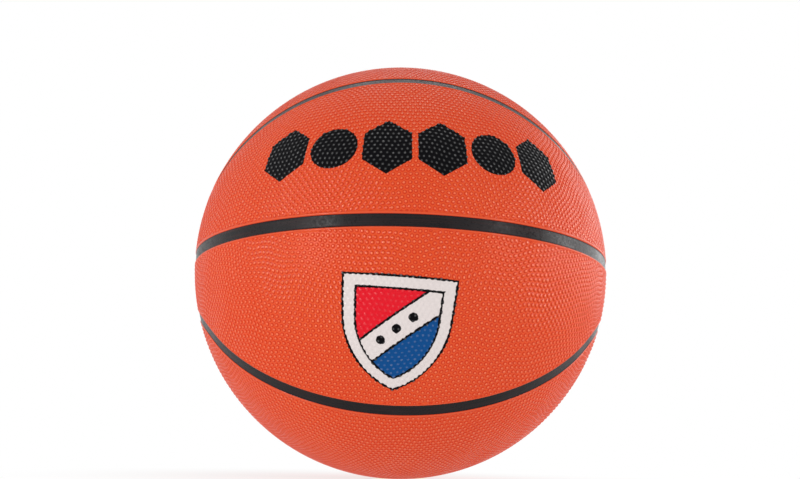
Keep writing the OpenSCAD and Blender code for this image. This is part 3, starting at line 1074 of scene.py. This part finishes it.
# Each panel's kind, name and mirror signs. Its seed is the first one plus its place in this list
firstSeed = 11
quarters = [(kind, f"{face}_{side}{ending}", (1, faceSign, sideSign))
            for kind, ending, sides in (("middle", "", ("upper", "lower")),
                                        ("oval", "_oval", ("top", "bottom")))
            for face, faceSign in (("front", 1), ("back", -1))
            for side, sideSign in zip(sides, (1, -1))]
printedCovers = {"front_upper": bandCover, "front_lower": shieldCover}
for order, (kind, name, signs) in enumerate(quarters):
    finish = printedCovers.get(name, plainCover)
    hole = valve["eyeletRadius"] if name == "back_upper" else None
    makePanel(f"cover_{name}", f"{name}_panel", kind, signs, firstSeed + order, finish, hole)
print("cover made")

equatorLength = 2 * math.pi * ballR
makeStrip("strip_equator", "equator_strip", equatorLine, equatorLength, (1, 1, 1), blackStrip,
          butted=False, crossings=(0, equatorLength / 2))
meridianLength = equatorLength / 2 - 2 * halfStrip
ovalJoin = ballR * endLat - halfStrip
for side, signs in (("upper", (1, 1, 1)), ("lower", (1, 1, -1))):
    makeStrip(f"strip_{side}_meridian", f"{side}_meridian_strip", meridianLine, meridianLength, signs,
              blackStrip, crossings=(ovalJoin, meridianLength - ovalJoin))
ovalLength = 2 * (endLength + sideLength)
for kind, name, signs in quarters:
    if kind == "oval":
        makeStrip(f"strip_{name}", f"{name}_strip", ovalLine, ovalLength, signs, blackStrip)
print("strips made")

revolved("valve_eyelet_ring", "valve_eyelet", eyeletProfile(), eyeletRubber)
revolved("valve_soft_plug", "valve_plug", plugProfile(), valveRubber)
print("valve made")

innerFinishes = {
    "bladder": plainRubber("butylRubber"),
    "valve_patch": plainRubber("patchRubber"),
    "valve_housing": plainRubber("housingRubber"),
    "nylon_winding": woundThread("nylonThread"),
    "carcass": plainRubber("carcassRubber"),
}
for node, finish in innerFinishes.items():
    materials = frame["nodes"][node].data.materials
    materials.clear()
    materials.append(finish)
print("inner layers finished")

# Studio

studio = {
    "white": (1, 1, 1, 1),
    "floorSize": 6000.0,
    "floorShade": 0.3,          # near the ball, how much of the floor's look is its lit surface
    "shadeReach": (80.0, 260.0),   # distances between which the floor turns plain white
    "worldLevel": 0.45,
    "floorGlow": 0.88,          # light that the floor throws back up
    # Each lamp: direction as azimuth and elevation, distance, width, height, and the light that it gives
    # to a surface facing it, where 1 shows colours as they are written
    "lamps": (
        ("frontSoftbox", -41, 3, 1300, 340, 640, 0.35),
        ("frontRightSoftbox", 50, 9, 1300, 260, 560, 0.13),
        ("leftSoftbox", -66, 22, 1500, 420, 600, 0.07),
        ("leftPanel", -97, -2, 1300, 600, 500, 0.05),
        ("rightPanel", 89, 9, 1200, 480, 400, 0.235),
        ("rightBackPanel", 122, 22, 1200, 900, 720, 0.21),
        ("topPanel", 0, 86, 1300, 500, 260, 0.04),
        ("backTopPanel", 180, 63, 1300, 700, 180, 0.04),
    ),
}


def makeLamp(name, azimuth, elevation, distance, width, height, level):
    # A lamp of power P lights a surface at distance d with P / (pi squared times d squared)
    data = bpy.data.lights.new(name, "AREA")
    data.shape = "RECTANGLE"
    data.size, data.size_y = width * mm, height * mm
    data.energy = level * (math.pi * distance * mm) ** 2
    placed(name, data, azimuth, elevation, distance)


def seenDirectly(finish):
    # 1 for rays from the camera, reflected or passed through, so that all show the plain white background
    path = finish.node("ShaderNodeLightPath").socket.node.outputs
    camera, glossy, through = (Wire(finish, path[key]) for key in
                               ("Is Camera Ray", "Is Glossy Ray", "Is Transmission Ray"))
    return camera.math("MAXIMUM", glossy).math("MAXIMUM", through)


def shining(finish, kind, strength):
    # A white Emission or Background node
    return finish.node(kind, sockets={"Color": studio["white"], "Strength": strength})


def makeFloor():
    # A white floor under the ball. The camera sees it as plain white, with a share of its lit surface near
    # the ball. To the light that falls on the ball it is a pale surface with an even glow
    half = studio["floorSize"] / 2 * mm
    level = float(cadLow[2])
    mesh = bpy.data.meshes.new("floor")
    mesh.from_pydata([(-half, -half, level), (half, -half, level), (half, half, level), (-half, half, level)],
                     [], [(0, 1, 2, 3)])
    finish = Finish("floorPaper")
    plain = shining(finish, "ShaderNodeEmission", 1.0)
    glow = shining(finish, "ShaderNodeEmission", studio["floorGlow"])
    lit = finish.node("ShaderNodeBsdfDiffuse", sockets={"Color": studio["white"]})
    away = finish.node("ShaderNodeVectorMath", {"operation": "LENGTH"}, {0: finish.place()}, "Value")
    share = finish.ramp(away, *studio["shadeReach"], studio["floorShade"], 0.0)
    seen = finish.node("ShaderNodeMixShader", sockets={0: share, 1: plain, 2: lit})
    both = finish.node("ShaderNodeMixShader", sockets={0: seenDirectly(finish), 1: glow, 2: seen})
    finish.node("ShaderNodeOutputMaterial", sockets={"Surface": both})
    mesh.materials.append(finish.material)
    floor = bpy.data.objects.new("floor", mesh)
    bpy.context.scene.collection.objects.link(floor)


def makeWorld():
    # An even light from all round, which the camera and reflections see as plain white
    world = bpy.data.worlds.new("studioWorld")
    world.use_nodes = True
    bpy.context.scene.world = world
    finish = Finish("world", world.node_tree)
    light = shining(finish, "ShaderNodeBackground", studio["worldLevel"])
    plain = shining(finish, "ShaderNodeBackground", 1.0)
    both = finish.node("ShaderNodeMixShader", sockets={0: seenDirectly(finish), 1: light, 2: plain})
    finish.node("ShaderNodeOutputWorld", sockets={"Surface": both})


for lamp in studio["lamps"]:
    makeLamp(*lamp)
makeFloor()
makeWorld()
bpy.context.scene.view_settings.view_transform = "Standard"
print("studio lit")
